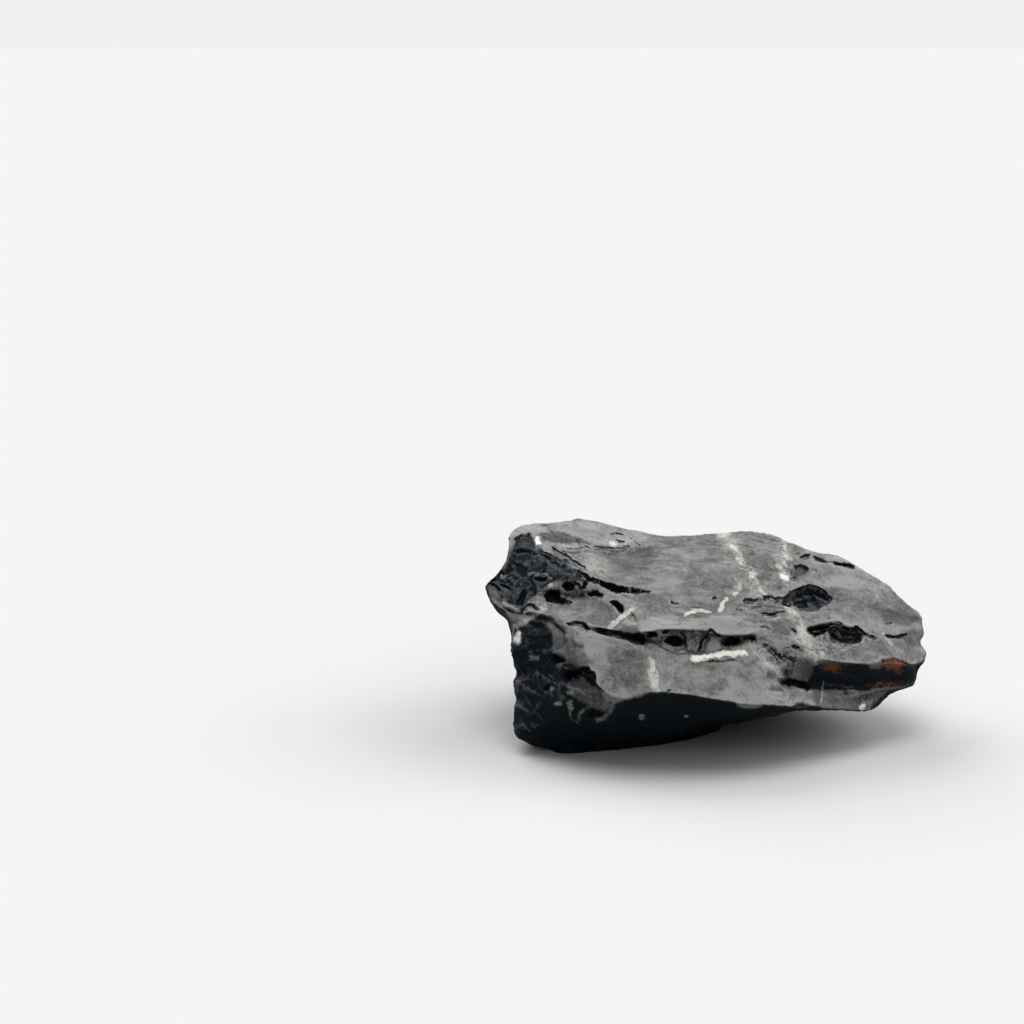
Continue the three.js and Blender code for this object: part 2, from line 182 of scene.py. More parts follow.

# Facets and holes, as outlines in the picture, with the dust and painted light on them (low where
# faces are painted dark as shade, high where they are painted light), how soft their edge is in
# pixels, and their depth in mm. Holes are painted black inside as shade.
FACETS = [
    # The broken faces at the left and underneath, painted dark as shade.
    ([(514,628), (545,621), (556,642), (572,664), (588,690), (600,707), (622,705), (655,700), (680,700),
      (710,703), (740,710), (790,710), (862,714), (860,730), (700,765), (525,765), (500,740),
      (508,660)], 0.0, 3, 0.0),
    # Back of the upper face and its high left corner, painted lighter and darker as they are lit.
    ([(512,530), (540,523), (571,519), (600,524), (640,532), (652,536), (640,542), (612,545), (592,543),
      (563,533), (541,533), (514,534)], 1.05, 3, 0.0),
    ([(541,534), (563,533), (577,537), (592,545), (580,545), (560,543), (543,541)], 0.3, 2, 0.1),
    ([(555,544), (580,543), (592,546), (575,548), (560,548)], 1.0, 2, 0.0),
    ([(556,552), (580,551), (612,555), (608,575), (600,581), (590,574)], 0.82, 5, 0.0),
    ([(610,549), (650,546), (660,560), (640,572), (615,575), (608,562)], 0.48, 6, 0.0),
    ([(670,572), (700,568), (738,572), (745,582), (735,590), (700,584), (680,580)], 0.58, 5, 0.0),
    ([(820,553), (850,560), (880,580), (900,596), (880,596), (850,590), (825,585), (835,572)],
     0.95, 6, 0.0),
    # The dark mass, painted dark as the shadow cast on it.
    ([(514,550), (536,549), (541,549), (552,556), (560,560), (567,561), (572,567), (579,571), (583,580),
      (575,582), (560,580), (550,584), (540,590), (531,598), (524,606), (517,608), (505,600), (495,592),
      (484,585), (492,579), (503,570), (508,560), (510,552)], 0.08, 3, 0.0),
    ([(514,539), (517,536), (530,534), (534,541), (536,548), (533,550), (513,551)], 0.0, 2, 0.3),
    ([(543,596), (548,590), (556,589), (561,591), (560,597), (572,601), (570,603), (552,603),
      (546,601)], 0.0, 2, 0.7),
    ([(561,587), (564,582), (570,581), (574,584), (573,589), (566,591)], 0.02, 2, 0.5),
    ([(560,592), (572,588), (582,592), (588,597), (575,598), (562,597)], 0.25, 2, 0.0),
    ([(527,620), (540,620), (541,628), (528,630)], 0.0, 3, 0.3),
    ([(523,633), (550,632), (551,645), (544,651), (524,651)], 0.0, 3, 0.2),
    ([(511,558), (518,560), (526,566), (528,575), (520,577), (513,570)], 0.0, 3, 0.2),
    ([(590,583), (600,588), (612,592), (625,594), (645,594), (650,602), (632,610), (622,606), (612,602),
      (602,597), (594,590)], 0.85, 3, 0.0),
    ([(592,577), (600,580), (610,582), (620,585), (632,588), (643,590), (640,592), (624,593), (611,591),
      (603,587)], 0.0, 1, 1.0),
    ([(611,601), (617,600), (622,604), (624,611), (619,611), (616,606), (611,604)], 0.0, 1, 0.6),
    ([(548,606), (575,602), (605,602), (614,608), (612,622), (590,622), (565,620), (548,616)],
     0.5, 4, 0.0),
    # The left of the front slope painted light, the face beside it painted dark as shade.
    ([(554,618), (568,627), (590,631), (612,635), (632,642), (645,646), (650,656), (640,655), (620,647),
      (595,643), (575,638), (562,628)], 1.05, 4, 0.0),
    ([(553,638), (570,636), (582,645), (592,662), (585,667), (570,665), (562,660), (552,652)],
     0.36, 4, 0.0),
    ([(573,643), (584,645), (583,648), (573,647)], 0.18, 2, 0.1),
    ([(567,682), (583,678), (592,686), (598,690), (600,697), (612,705), (605,711), (590,706), (578,700),
      (570,692)], 0.42, 3, 0.0),
    ([(550,654), (556,654), (562,660), (560,662), (553,665), (550,661)], 0.0, 2, 0.8),
    ([(561,674), (566,671), (573,671), (577,668), (583,667), (589,667), (591,671), (595,673), (597,679),
      (596,684), (593,688), (590,684), (588,679), (583,677), (575,679), (566,680)],
     0.0, 2, 0.9),
    ([(585,714), (592,712), (603,714), (603,717), (590,719)], 0.0, 2, 0.5),
    ([(542,688), (547,683), (550,688), (549,692), (543,691)], 0.0, 2, 0.4),
    ([(608,656), (630,648), (646,655), (650,668), (645,682), (625,688), (608,676)], 0.6, 8, 0.25),
    ([(600,690), (606,700), (616,702), (636,697), (645,694), (640,690), (620,695), (608,692)],
     1.1, 3, 0.0),
    ([(726,662), (752,660), (776,684), (784,697), (735,699), (722,680)], 0.76, 8, 0.0),
    ([(735,703), (745,700), (765,702), (760,708), (742,708)], 0.95, 3, 0.0),
    # The lip, painted light as a highlight, and the notch, painted lighter than its shade.
    ([(640,622), (660,615), (690,617), (745,616), (760,620), (757,634), (742,635), (722,636), (712,629),
      (680,627), (655,630), (640,633)], 1.15, 3, 0.0),
    ([(645,633), (652,631), (662,630), (680,628), (700,629), (708,629), (712,631), (716,635), (722,638),
      (738,637), (742,636), (745,641), (740,646), (722,650), (705,654), (690,655), (676,655), (664,650),
      (655,645), (645,642)], 0.45, 2, 0.3),
    ([(617,630), (621,623), (628,620), (635,625), (639,631), (628,632)], 1.0, 2, -0.9),
    ([(650,630), (662,630), (664,636), (656,641), (649,640)], 0.9, 2, -0.3),
    ([(686,630), (700,629), (702,640), (698,650), (687,649)], 0.5, 2, -0.3),
    ([(712,636), (720,638), (722,646), (716,651), (705,652), (708,642)], 1.0, 2, -0.4),
    ([(664,646), (682,647), (690,652), (676,654)], 0.5, 2, -0.2),
    ([(663,641), (668,637), (678,636), (683,641), (684,645), (672,645)], 0.0, 2, 0.8),
    ([(721,642), (727,639), (738,637), (742,640), (738,644), (727,645)], 0.0, 2, 0.8),
    ([(646,636), (650,632), (656,632), (658,636), (652,638)], 0.0, 1, 0.5),
    ([(661,631), (669,630), (668,634), (662,635)], 0.0, 1, 0.4),
    # Where the ledge dies out, painted lighter and darker as it is lit.
    ([(762,643), (770,643), (780,652), (790,659), (786,664), (778,664), (770,656)], 0.45, 2, 0.1),
    ([(770,621), (785,618), (799,622), (797,634), (785,636), (772,632)], 0.5, 4, 0.1),
    ([(786,663), (792,660), (816,661), (812,672), (808,682), (796,680), (788,677)], 0.4, 2, 0.0),
    ([(787,678), (795,680), (809,683), (812,688), (808,691), (801,688), (787,686)], 0.0, 1, 0.6),
    ([(766,688), (774,685), (783,688), (784,691), (772,691)], 0.3, 3, 0.15),
    ([(799,628), (812,636), (824,650), (822,657), (806,658), (800,650)], 1.3, 4, 0.0),
    # Hollows of the upper face, painted dark as shade.
    ([(740,604), (750,598), (766,598), (780,602), (787,609), (782,614), (765,615), (750,611)],
     0.52, 3, 0.1),
    ([(784,598), (788,594), (794,591), (800,588), (804,586), (808,585), (813,586), (818,587), (823,590),
      (828,594), (832,599), (830,602), (826,605), (821,606), (819,610), (812,611), (806,611), (800,610),
      (796,608), (788,605), (781,601)], 0.14, 1.5, 0.3),
    ([(786,597), (796,591), (808,587), (819,590), (829,599), (820,602), (806,604), (794,601)],
     0.05, 2, 0.3),
    ([(798,591), (808,588), (818,591), (824,597), (812,597), (800,596)], 0.02, 2, 0.3),
    ([(808,603), (814,601), (821,603), (818,609), (811,611), (807,609)], 0.4, 2, 0.0),
    ([(786,598), (791,595), (793,600), (791,604), (786,602)], 0.35, 2, 0.0),
    ([(795,595), (803,593), (806,598), (800,603), (794,601)], 0.25, 2, 0.0),
    ([(790,568), (796,565), (804,565), (809,569), (806,573), (799,577), (794,579), (790,576)],
     0.38, 2, 0.2),
    ([(757,575), (762,574), (767,578), (764,581), (758,579)], 0.36, 3, 0.15),
    ([(745,581), (752,580), (757,584), (750,586)], 0.36, 2, 0.2),
    ([(774,585), (781,582), (785,585), (780,589), (775,588)], 0.32, 3, 0.2),
    ([(734,574), (741,572), (745,577), (739,580)], 0.45, 3, 0.1),
    # The pocket, painted dark as shade, and the right end, painted lighter and darker as it is lit.
    ([(829,628), (833,624), (840,624), (845,627), (848,630), (852,628), (858,628), (864,632), (862,636),
      (859,640), (852,640), (848,643), (842,643), (836,641), (831,638), (829,633)],
     0.1, 2, 0.2),
    ([(816,634), (822,632), (829,634), (833,640), (838,645), (834,650), (826,651), (818,646)],
     0.55, 3, 0.0),
    ([(838,588), (870,590), (902,600), (880,594), (850,593)], 0.45, 3, 0.0),
    ([(832,598), (870,597), (905,600), (912,612), (880,611), (862,607), (835,606)], 0.62, 5, 0.0),
    ([(880,612), (905,608), (922,618), (908,626), (885,622)], 0.42, 5, 0.0),
    ([(904,630), (924,630), (925,646), (906,646)], 0.38, 4, 0.0),
    ([(846,646), (870,639), (900,640), (926,655), (915,663), (880,659), (856,662)], 0.56, 5, 0.0),
    ([(812,692), (840,692), (862,693), (880,697), (862,711), (820,708), (812,700)], 0.38, 4, 0.0),
    ([(858,690), (872,687), (890,688), (882,697), (870,702), (860,698)], 0.22, 3, 0.1),
    # The recess, painted dark as shade, with a lit facet in it painted lighter, and the strip below.
    ([(819,659), (830,661), (840,662), (850,663), (858,665), (864,668), (869,670), (880,670), (882,660),
      (890,658), (900,659), (908,663), (918,667), (918,672), (915,680), (912,686), (905,690), (890,690),
      (880,688), (862,690), (840,690), (820,690), (810,688), (809,683), (812,675),
      (815,667)], 0.02, 1.5, 0.0),
    ([(869,664), (874,661), (881,660), (881,668), (877,669), (870,668)], 0.45, 2, 0.0),
    ([(791,708), (795,703), (801,702), (810,704), (819,709), (805,711)], 0.0, 2, 0.2),
    ([(841,687), (847,688), (849,695), (844,694)], 0.2, 2, 0.1),
]

# Pale veins, ridges and specks, as lines in the picture with a half width and their whiteness.
VEINS = [
    ([(694,659), (704,658)], 3.3, 1.3),
    ([(706,657), (716,656)], 2.3, 1.0),
    ([(717,655), (724,653), (733,654)], 3.0, 1.2),
    ([(736,653), (744,653)], 3.0, 1.2),
    ([(686,615), (690,612), (696,611), (704,611), (709,612)], 1.7, 0.6),
    ([(720,611), (722,606), (724,601), (727,599)], 1.8, 0.6),
    ([(633,609), (626,613), (620,618), (615,622), (611,627)], 2.1, 0.45),
    ([(651,659), (653,665), (652,671)], 2.3, 0.34),
    ([(650,672), (652,679), (654,686)], 2.2, 0.3),
    ([(655,672), (657,679), (656,686)], 1.8, 0.3),
    ([(652,686), (656,690)], 3.0, 0.26),
    ([(718,536), (727,535)], 2.0, 0.35),
    ([(731,546), (737,550), (741,555)], 1.6, 0.3),
    ([(741,555), (743,563)], 2.0, 0.3),
    ([(737,558), (741,563)], 1.6, 0.4),
    ([(751,575), (755,574)], 2.6, 0.42),
    ([(741,584), (740,590)], 1.6, 0.26),
    ([(737,592), (734,594)], 1.5, 0.4),
    ([(760,588), (766,594)], 1.2, 0.3),
    ([(784,541), (785,550)], 1.6, 0.28),
    ([(786,556), (790,559)], 2.2, 0.34),
    ([(778,565), (781,568)], 2.2, 0.34),
    ([(783,561), (786,566)], 1.2, 0.26),
    ([(782,576), (787,578)], 2.4, 0.75),
    ([(785,570), (784,575)], 1.5, 0.3),
    ([(784,606), (788,610), (791,613)], 1.2, 0.25),
    ([(793,610), (798,615), (801,620), (802,630), (803,640)], 1.4, 0.24),
    ([(801,630), (806,640), (812,650)], 4.0, 0.16),
    ([(806,651), (815,653), (821,655)], 3.2, 0.3),
    ([(755,652), (762,659), (770,666), (778,671), (784,676)], 2.0, 0.16),
    ([(883,633), (887,638), (892,645)], 1.2, 0.2),
    ([(878,593), (874,603)], 1.2, 0.12),
    ([(538,538), (538,543)], 2.4, 0.85),
    ([(611,543), (615,545)], 1.8, 0.5),
    ([(518,634), (517,641)], 3.4, 0.9),
    ([(531,658), (537,658)], 2.4, 0.24),
    ([(551,689), (553,689)], 2.6, 0.26),
    ([(567,692), (571,692)], 2.2, 0.26),
    ([(556,704), (560,703)], 2.4, 0.28),
    ([(570,702), (570,711)], 2.4, 0.3),
    ([(570,711), (570,718)], 1.3, 0.24),
    ([(641,717), (642,718)], 2.6, 0.3),
    ([(685,716), (686,716)], 1.6, 0.3),
    ([(861,707), (863,706)], 2.6, 0.7),
    ([(823,681), (822,691), (821,703)], 0.8, 0.25),
    ([(577,721), (580,714), (585,708), (591,706)], 1.8, 0.13),
    ([(614,704), (611,711), (605,717), (599,720)], 2.4, 0.12),
    ([(509,537), (507,548), (503,560), (497,567), (488,577), (481,583)], 2.6, 0.3),
    ([(545,608), (535,615), (525,621), (515,626)], 2.8, 0.25),
    ([(527,574), (534,572), (540,575)], 1.2, 0.2),
    ([(537,576), (545,575), (552,578)], 1.2, 0.2),
    ([(500,576), (504,577)], 1.8, 0.4),
    ([(549,587), (551,585)], 1.8, 0.35),
]

# Pale granular bands, and two painted highlights, as lines in the picture with a half width and
# how pale they are.
PALE = [
    ([(726,536), (735,547), (741,560), (750,573), (756,590), (766,598)], 5.5, 0.26),
    ([(741,572), (738,584), (734,594)], 4.0, 0.2),
    ([(783,538), (786,552), (782,565), (786,580)], 5.5, 0.26),
    ([(776,556), (782,572), (790,578)], 4.0, 0.22),
    ([(786,606), (794,614), (799,626), (802,640), (812,652)], 6.0, 0.24),
    ([(800,640), (812,650), (822,655)], 9.0, 0.3),
    ([(757,651), (768,664), (782,676)], 5.0, 0.16),
    ([(790,622), (775,618), (762,622)], 6.0, 0.1),
    ([(582,558), (594,566), (604,574)], 7.0, 0.1),
    ([(520,528), (545,525), (572,522), (596,527)], 4.0, 0.12),
    ([(604,542), (616,544), (628,540)], 3.5, 0.16),
    ([(556,546), (574,545), (590,548)], 2.2, 0.14),
    ([(545,622), (556,620), (564,626)], 2.5, 0.1),
    ([(622,614), (632,608), (646,612), (655,618)], 4.0, 0.1),
    ([(648,657), (652,668), (654,682), (656,690)], 5.0, 0.13),
    # A painted highlight along the lit rim of the slope.
    ([(600,692), (608,701), (620,700), (636,695)], 2.2, 0.1),
    # A painted highlight along the lip.
    ([(650,622), (680,620), (712,619), (745,621)], 4.0, 0.06),
    ([(508,540), (505,555), (497,567), (486,578)], 3.0, 0.12),
    ([(545,608), (535,615), (525,621), (515,626)], 3.0, 0.1),
    ([(850,561), (870,573), (890,588)], 4.0, 0.1),
    ([(829,556), (842,557), (854,563)], 2.5, 0.24),
    ([(806,551), (818,553)], 2.2, 0.2),
    ([(862,706), (868,702)], 3.0, 0.2),
    ([(834,636), (824,642), (820,650)], 6.0, 0.08),
]

# Steps down toward the camera, as lines in the picture: drop in mm, height of the step and how far
# below it the surface comes back, in pixels.
STEPS = [
    ([(541,534), (563,533), (577,538), (592,544), (606,547), (640,545), (665,541)], 0.5, 5, 40),
    ([(640,613), (670,611), (700,613), (735,613)], 0.15, 4, 30),
    ([(700,580), (740,586), (775,588), (808,585), (850,592), (890,590)], 0.25, 3, 25),
    ([(840,602), (870,607), (905,606)], 0.15, 3, 20),
]

# Dents, in the picture: middle and half widths, and their depth in mm.
DENTS = [
    ((517, 674), (7, 6), 0.5),
    ((518, 699), (6, 6), 0.3),
    ((700, 672), (40, 14), 0.2),
    ((764, 575), (14, 8), 0.2),
    ((627, 660), (22, 16), 0.3),
]

# Rust, in the picture: middle and half widths, and its strength.
RUSTS = [
    ((832, 666), (15, 7), 0.75),
    ((836, 671), (8, 5), 0.5),
    ((893, 664), (13, 7), 1.0),
    ((898, 671), (8, 5), 0.6),
    ((885, 685), (26, 7), 0.42),
]

# Where the stone is coarse and speckled, as outlines in the picture with a strength.
GRITTY = [
    ([(806,626), (812,624), (830,620), (846,620), (868,628), (878,636), (862,644), (845,650), (826,654),
      (812,640)], 1.0),
    ([(745,636), (770,640), (800,625), (818,640), (826,655), (800,668), (780,668), (762,655)], 0.8),
    ([(645,633), (652,631), (680,628), (708,629), (722,638), (742,636), (745,641), (722,650), (690,655),
      (664,650), (645,642)], 0.9),
    ([(715,540), (745,535), (790,538), (800,560), (795,585), (770,600), (735,595), (728,570)], 0.5),
    ([(735,597), (790,597), (795,615), (740,618)], 0.6),
    ([(514,550), (541,549), (560,560), (583,580), (600,590), (560,604), (540,612), (517,612), (484,585),
      (503,570)], 0.7),
    ([(512,530), (540,523), (571,519), (600,524), (640,532), (650,540), (612,548), (560,548),
      (514,534)], 0.45),
    ([(555,548), (585,548), (610,575), (640,600), (620,625), (590,600), (570,575)], 0.5),
    ([(815,662), (850,662), (880,665), (918,668), (905,690), (860,690), (812,688)], 0.6),
    ([(766,690), (870,690), (880,710), (766,710)], 0.4),
    ([(515,640), (560,650), (610,690), (600,720), (520,745)], 0.5),
    ([(784,598), (804,586), (818,587), (832,599), (819,610), (800,611)], 0.6),
]

# Where the fracture is plain, as outlines in the picture with a share of it that is left out.
PLAIN = [
    ([(812,658), (850,660), (920,662), (920,690), (860,696), (808,692)], 0.75),
    ([(600,712), (700,706), (860,714), (860,730), (700,760), (560,760)], 0.4),
]

FADE = 5.0  # at the edge of a gritty or plain outline, in pixels
FAR = 4.0  # a distance from a line that leaves no mark, in half widths
NOWHERE = -1e6  # a place in the picture that no mark reaches
HOLE = 0.35  # a facet deeper than this is a hole, painted black inside as shade
DARK_DUST_AND_LIGHT = 0.2  # a facet with less dust and painted light, and more points, is a dark face or hollow
DARK_POINTS = 15
VEIN_RISE = 0.12  # of a vein of whiteness 1, in mm
CRACK_CURVE = 1.5

# Where marks begin and end, in half widths. The ends of a line are a share of its length.
CRACK_END = (-0.1, 0.2)
STEP_END = (0.0, 0.2)
DENT_SIDE = (0.2, 1.2)
RUST_SIDE = (0.3, 1.3)
VEIN_SIDE = (0.6, 1.4)
PALE_SIDE = (0.2, 1.5)

# The fracture, coarse to fine: size in mm; whether it is turned; size, reach and salt of its bend;
# lean, bowl and salt of its dishes; depth in mm, and how much less on the top; and its least share.
FRACTURE = [
    (5.5, False, (5.0, 1.2, 11), (0.35, 0.3, 21), (1.4, 1.2), 1.0),
    (2.6, True, (2.0, 0.4, 14), (0.7, 0.15, 31), (0.4, 0.35), 0.4),
    (1.1, True, (0.8, 0.15, 17), (0.8, 0.15, 41), (0.13, 0.1), 0.3),
]

# Patches of noise: size in mm, salt, and the values between which they fade in.
FRACTURE_PATCH = (7.0, 5, -0.4, 0.4)
JUT_PATCH = (5.0, 65, -0.2, 0.5)
NICK_PATCH = (1.3, 81, 0.0, 0.5)
DUST_PATCH = (3.5, 103, -0.3, 0.3)
RUST_PATCH = (4.0, 99, 0.45, 0.8)

RAGGED = [(1.2, 0.2, 91), (0.4, 0.1, 94)]  # size, reach and salt of what frays the outlines
LEAN_SALT = 101  # keeps the leans of the dishes apart from their places
PULL_FOOT = (0.3, 3.0)  # heights between which the pulls set in, in mm

# Waves of the surface and of the beds: height and size in mm, and salt.
SWELL = (0.22, 8.0, 1)
RIPPLE = (0.10, 3.0, 2)
BED_SWELL = (1.0, 7.0, 51)
BED_RIPPLE = (0.35, 2.2, 52)
STRETCH = np.array([1.9, 1.0, 1.0])  # of the beds and ripples, along the stone

# Beds: thickness in mm, how far each steps down as a share of it, and their patches.
BEDS = [
    (1.5, 0.2, (4.0, 61, -0.2, 0.5)),
    (0.55, 0.45, (4.0, 62, -0.2, 0.5)),
]
BED_RISER = (0.3, 0.7)  # where in a bed the step down is
JUT_BED = 2.6  # beds that jut from the steep sides: thickness, how far, and profile
JUT = 0.3
JUT_CURVE = 1.6
JUT_MIDDLE = 0.4

# How much the surface faces the way of the beds on the top, a level bed and a gentle slope.
TOP = (0.55, 0.93)
LEVEL = (0.88, 0.97)
GENTLE = (0.35, 0.8)

RIDGE = (0.05, 0.3)  # how far an edge stands out to be nicked, in mm
NICK = 0.4
SINK = 0.05  # moves the broken surface inwards, in mm
FLOOR_BAND = 0.12  # the flat spot is lower than this, in mm
SIGHT_START = 0.15  # how far off the surface a line of sight starts, in mm
GRAZING = 0.02  # the least that a surface in view faces the camera

# How much a place faces up to get dust and painted light, to be level and get less, and to get
# painted highlights and wear on its edges.
DUST_AND_LIGHT_UP = (0.3, 0.62)
LEVEL_UP = (0.82, 0.95)
EDGE_UP = (-0.1, 0.5)
LEVEL_DUST_AND_LIGHT = 0.64
SLOPE_DUST_AND_LIGHT = 0.25
# Painted highlights and wear on sharp edges facing up, and painted shade in their creases.
EDGE_WEAR_LIGHT_AND_SHADE = 0.28
EDGE_LEAST = 0.3  # share of it where there is no grit
HIDDEN_DUST = 0.11  # on the unseen sides, with a share between the edges and more on them
HIDDEN_SHARE = 0.7
HIDDEN_EDGE = 0.4
EDGE = 0.04  # how far a sharp edge stands out from its surroundings, in mm
GRIT = 0.2  # on the rest of the stone
RUSTY_DUST_AND_LIGHT = (0.4, 0.2)  # rust shows where dust and painted light are less, fully below the second
HIDDEN_RUST = 0.45
FAINT = (0.5, 0.1)  # a crack less deep than the first is painted thinner, down to the second

# Veins on the sides that the camera doesn't see: planes with a direction, an offset and a half
# width in mm, a whiteness, and the salt of their gaps.
HIDDEN_VEINS = [
    ((0.92, 0.31, 0.24), 6.0, 0.22, 0.7, 97),
    ((0.55, -0.62, 0.56), -3.5, 0.16, 0.5, 98),
    ((-0.38, 0.84, 0.39), 11.5, 0.14, 0.6, 99),
    ((0.30, 0.12, 0.95), 9.0, 0.12, 0.4, 100),
]
VEIN_BEND = (4.0, 0.8, 95)  # size, reach and salt of the noise that bends them
VEIN_RUN = 5.0  # size of the stretches between the gaps, in mm
VEIN_GAP = (-0.1, 0.2)
GAP_DEPTH = 3.0  # how far off a vein seems in a gap, in half widths

# Colours of the stone (linear). The blue-black is also the painted colour of the faces in shade,
# the grey that of dust and of the faces painted light, and the black is painted shade in cracks
# and holes.
STONE_AND_SHADE_BLUE_BLACK = (0.005, 0.0105, 0.0145)
SLATE = (0.022, 0.030, 0.044)
SOOT = (0.014, 0.0145, 0.015)
DUST_AND_LIT_GREY = (0.199, 0.197, 0.193)
RUST = (0.14, 0.058, 0.026)
VEIN_AND_HIGHLIGHT_PALE = (0.52, 0.52, 0.48)
CRACK_SHADE_BLACK = (0.0015, 0.0015, 0.002)

# Noise in the material: stretch, features per mm, detail and roughness.
NOISES = {
    "mottle": ((0.6, 0.5, 1.1), 0.5, 5.0, 0.6),
    "fine": ((1.0, 0.5, 1.1), 2.2, 5.0, 0.65),
    "grain": ((1.0, 1.0, 1.0), 5.0, 3.0, 0.6),
    "speck": ((1.0, 0.5, 1.1), 2.8, 4.0, 0.7),
}
# How far the noises sway each value. The grit is the specks where the stone is coarse.
SWAYS = {
    "evenness": {"mottle": 2.4, "fine": 1.4, "grain": 0.5, "grit": 4.0},
    "dust": {"fine": 0.08, "grit": 0.3},
    "pale": {"mottle": 0.6},
    "crack_shade": {"fine": 1.6, "grain": 1.0},
    "rust": {"fine": 1.6, "grain": 2.0},
    "vein": {"fine": 2.4, "grain": 1.4},
    "white": {"mottle": 0.8, "grain": 0.8, "speck": 0.9},
    "bump": {"grain": 0.4, "grit": 1.0},
}
# Where the swayed values fade in or out.
SLATE_FADE = (0.02, 0.2)
SOOT_FADE = (0.18, 0.4)
PALE_FADE = (-0.12, 0.14)
PALE_LEAST = 0.25
CRACK_FADE = (0.7, 1.3)
RUST_FADE = (0.3, 0.8)
BUMP_STRENGTH = 0.7
BUMP_HEIGHT = 0.2  # in mm
ROUGHNESS = 0.6
SPECULAR = 0.08

# The studio: soft lights, each with a compass bearing clockwise from the back and a height, in
# degrees, and a strength. A light is full as far as the first angle and ends at the second.
LIGHTS = [
    ((330, 35), 8.5),
    ((300, 35), 3.0),
    ((60, 35), 5.5),
    ((90, 35), 4.5),
    ((150, 35), 2.4),
    ((210, 35), 1.2),
    ((0, 88), 7.0),
]
LIGHT_ANGLES = (6, 30)
ROOM_GLOW = 0.03
FLOOR_TONE = 0.40
FLOOR_SIZE = 20.0  # in metres, as the camera's near and far limits are
FLOOR_ROUGHNESS = 0.9
BACKDROP = 0.889
CLIP = (0.01, 60.0)
GAMMA = 0.85


# ---- noise

def hashed(cells, salt):
    """Three numbers from 0 to 1 for each whole-number cell. The long numbers only stir the bits."""
    whole = np.uint64
    n = cells.astype(np.int64).astype(whole)
    h = n[..., 0] * whole(0x8DA6B343) ^ n[..., 1] * whole(0xD8163841)
    h ^= n[..., 2] * whole(0xCB1AB31F) ^ whole(salt * 0x9E3779B1)
    low_bits = whole(0xFFFFFFFF)
    h &= low_bits
    out = []
    for _ in range(3):
        h = (h ^ (h >> whole(15))) * whole(0x85EBCA6B) & low_bits
        h = (h ^ (h >> whole(13))) * whole(0xC2B2AE35) & low_bits
        h ^= h >> whole(16)
        out.append(h / 2.0**32)
    return np.stack(out, -1)


def noise(p, salt):
    """Smooth gradient noise, scaled to about -1 to 1, with features one unit across."""
    base = np.floor(p)
    f = p - base
    w = f**3 * (f * (f * 6 - 15) + 10)
    total = np.zeros(len(p))
    for corner in np.ndindex(2, 2, 2):
        c = np.array(corner)
        weight = np.prod(np.where(c, w, 1 - w), axis=1)
        grad = hashed(base + c, salt) * 2 - 1
        total += weight * ((f - c) * grad).sum(1)
    return total * 1.6


def warp(p, size, reach, salt):
    """Points moved about by noise with features of a size."""
    return p + reach * np.stack([noise(p / size, salt + k) for k in range(3)], 1)


def ragged(points):
    """Points moved a little, so that the outlines in the picture come out ragged."""
    for wobble in RAGGED:
        points = warp(points, *wobble)
    return points


def scallops(p, tilt, bowl, salt):
    """Fracture dishes one unit across that meet in sharp ridges. Each leans by up to tilt."""
    base = np.floor(p)
    lowest = np.full(len(p), np.inf)
    for offset in np.ndindex(3, 3, 3):
        cell = base + np.array(offset) - 1
        seat = hashed(cell, salt)
        lean = (hashed(cell, salt + LEAN_SALT) * 2 - 1) * tilt
        away = p - (cell + seat)
        height = bowl * (away**2).sum(1) + (away * lean).sum(1) + lean[:, 0]
        lowest = np.minimum(lowest, height)
    return lowest


def smooth(x, low, high):
    """A smooth step from 0 to 1 while x goes from low to high."""
    t = np.clip((x - low) / (high - low), 0, 1)
    return t * t * (3 - 2 * t)


def patches(p, size, salt, low, high):
    """1 inside patches of a size and 0 between them."""
    return smooth(noise(p / size, salt), low, high)


def wave(p, height, size, salt):
    return height * noise(p / size, salt)


# ---- the surface and the picture

def evaluated(piece):
    """The mesh of an object with its modifiers applied. The object keeps the new mesh."""
    graph = bpy.context.evaluated_depsgraph_get()
    mesh = bpy.data.meshes.new_from_object(piece.evaluated_get(graph), depsgraph=graph)
    piece.modifiers.clear()
    piece.data = mesh
    return mesh


def placed(name, data):
    """A new object in the scene."""
    piece = bpy.data.objects.new(name, data)
    bpy.context.scene.collection.objects.link(piece)
    return piece


def remeshed(piece, spacing):
    """The surface as an even mesh with a spacing in mm."""
    remesh = piece.modifiers.new("remesh", "REMESH")
    remesh.mode = "VOXEL"
    remesh.voxel_size = spacing * MM
    evaluated(piece).materials.clear()


def thin_out(piece):
    """Fewer triangles where the surface is plain."""
    count = sum(len(p.vertices) - 2 for p in piece.data.polygons)
    decimate = piece.modifiers.new("thin_out", "DECIMATE")
    decimate.ratio = min(1.0, TRIANGLES / count)
    evaluated(piece).shade_smooth()


def read(items, name, width, kind=np.float32):
    flat = np.empty(len(items) * width, kind)
    items.foreach_get(name, flat)
    return flat.reshape(-1, width)


